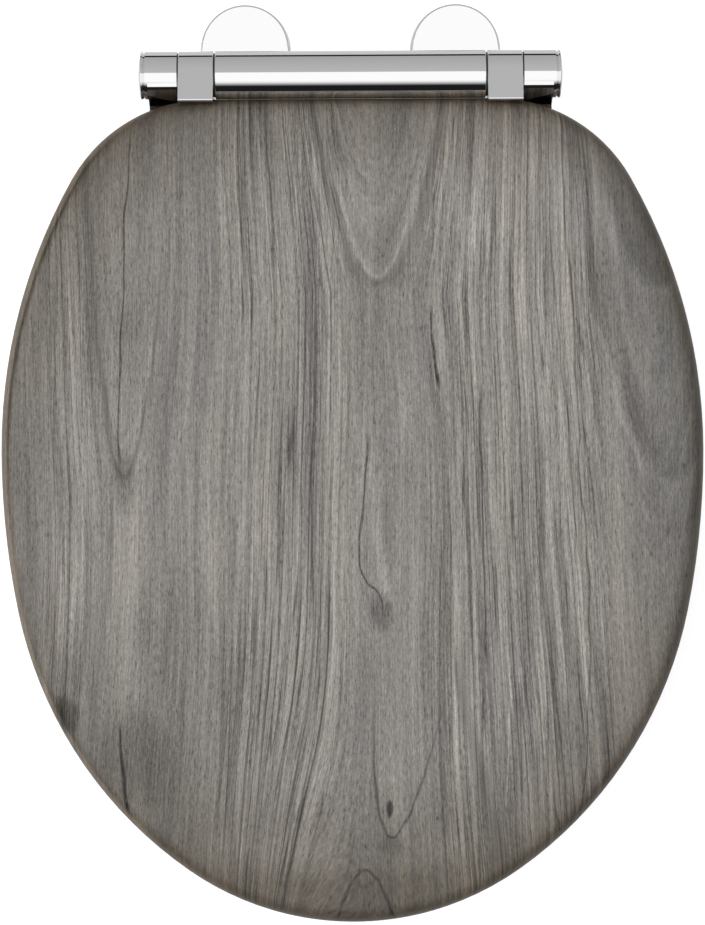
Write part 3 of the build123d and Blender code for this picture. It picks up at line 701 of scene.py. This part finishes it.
# Surroundings, with angles in degrees from straight up: below 0 to the front, above 0 to the rear
PANEL_FRONT_FADE = (-63.0, -31.0)
PANEL_REAR = 7.4
WALL_TOP = 8.0
PANEL_SIDE_FADE = (75.0, 55.0)
PANEL_LIGHT = 1.08
WALL_FOOT_FADE = (96.0, 94.0)
WALL_LIGHT = 0.53
WALL_LIGHT_FALL = 0.0014
GROUND_FADE = (106.0, 108.0)
GROUND_LIGHT = 0.4
FRONT_LIGHT = 0.012
WHITE = (1.0, 1.0, 1.0, 1.0)

# Left side of the surroundings, from the sideways part of a direction, which is -1 to the left
LEFT_FADE = (-0.5, -0.9)
LEFT_LIGHT = 0.45

LAMP_TARGET = (0.0, -0.2, 0.0)

CAMERA_HEIGHT = 2.04
CAMERA_Y = -0.2224
CAMERA_TURN = radians(-0.3)
CAMERA_LENS = 147.1


def card(name, size_x, size_y, place):
    """A flat card of the studio, not part of the object."""
    shape = bmesh.new()
    bmesh.ops.create_grid(shape, x_segments=1, y_segments=1, size=0.5)
    bmesh.ops.scale(shape, vec=(size_x, size_y, 1.0), verts=shape.verts)
    bmesh.ops.translate(shape, vec=place, verts=shape.verts)
    piece = as_object(shape, name)
    return piece


def floor_finish():
    """White to the camera, and paler where the chrome mirrors it, except well behind the discs."""
    finish = new_finish("floor")
    seen = finish.node("ShaderNodeLightPath", output="Is Camera Ray")
    mirrored = Value(finish, seen.socket.node.outputs["Is Glossy Ray"])
    x, y, z = finish.place()
    diffuse = finish.node("ShaderNodeBsdfDiffuse", sockets={"Color": FLOOR_GREY})
    strength = seen * FLOOR_SEEN_GLOW + mirrored * y.rise(*FLOOR_MIRRORED_FADE) * FLOOR_MIRRORED_GLOW
    glow = finish.node("ShaderNodeEmission", sockets={"Strength": strength})
    both = finish.node("ShaderNodeAddShader", sockets={0: diffuse, 1: glow})
    finish.node("ShaderNodeOutputMaterial", sockets={"Surface": both})
    return finish.owner


floor = card("floor", FLOOR_SIZE, FLOOR_SIZE, (0.0, FLOOR_REAR_Y - FLOOR_SIZE / 2, FLOOR_Z))
floor.data.materials.append(floor_finish())


def studio_world():
    """White to the camera. To all else a white panel above, grey behind and on the left, a dark front."""
    finish = Finish(bpy.data.worlds.new("studio"))
    bpy.context.scene.world = finish.owner
    seen = finish.node("ShaderNodeLightPath", output="Is Camera Ray")
    across, along, up = finish.split(finish.node("ShaderNodeTexCoord", output="Generated"))
    tilt = finish.math("ARCTAN2", along, up) * (180 / pi)
    lean = finish.math("ARCTAN2", across, up) * (180 / pi)
    panel = tilt.rise(*PANEL_FRONT_FADE) * tilt.rise(WALL_TOP, PANEL_REAR)
    panel = panel * abs(lean).rise(*PANEL_SIDE_FADE) * PANEL_LIGHT
    wall = tilt.rise(PANEL_REAR, WALL_TOP) * tilt.rise(*WALL_FOOT_FADE)
    wall = wall * (WALL_LIGHT - tilt * WALL_LIGHT_FALL)
    behind = wall + tilt.rise(*GROUND_FADE) * GROUND_LIGHT
    left = across.rise(*LEFT_FADE) * LEFT_LIGHT
    light = panel.above(behind).above(left).above(FRONT_LIGHT)
    strength = seen + (1.0 - seen) * light
    glow = finish.node("ShaderNodeBackground", sockets={"Color": WHITE, "Strength": strength})
    finish.node("ShaderNodeOutputWorld", sockets={"Surface": glow})


studio_world()


def soft_lamp(name, place, size, watts):
    """A large soft lamp that lights the object and isn't mirrored in the chrome."""
    lamp = bpy.data.lights.new(name, "AREA")
    lamp.shape = "SQUARE"
    lamp.size = size
    lamp.energy = watts
    piece = bpy.data.objects.new(name, lamp)
    piece.location = place
    piece.rotation_euler = (Vector(LAMP_TARGET) - Vector(place)).to_track_quat("-Z", "Y").to_euler()
    piece.visible_camera = False
    piece.visible_glossy = False
    bpy.context.scene.collection.objects.link(piece)


soft_lamp("ceiling_lamp", (-0.5, 0.4, 3.1), size=2.2, watts=58.0)
soft_lamp("left_lamp", (-3.0, -0.3, 1.2), size=1.6, watts=34.0)

camera = bpy.data.objects.new("camera", bpy.data.cameras.new("camera"))
camera.data.lens = CAMERA_LENS
camera.location = (0.0, CAMERA_Y, CAMERA_HEIGHT)
camera.rotation_euler = (0.0, 0.0, CAMERA_TURN)
bpy.context.scene.collection.objects.link(camera)
bpy.context.scene.camera = camera
bpy.context.scene.view_settings.view_transform = "Standard"
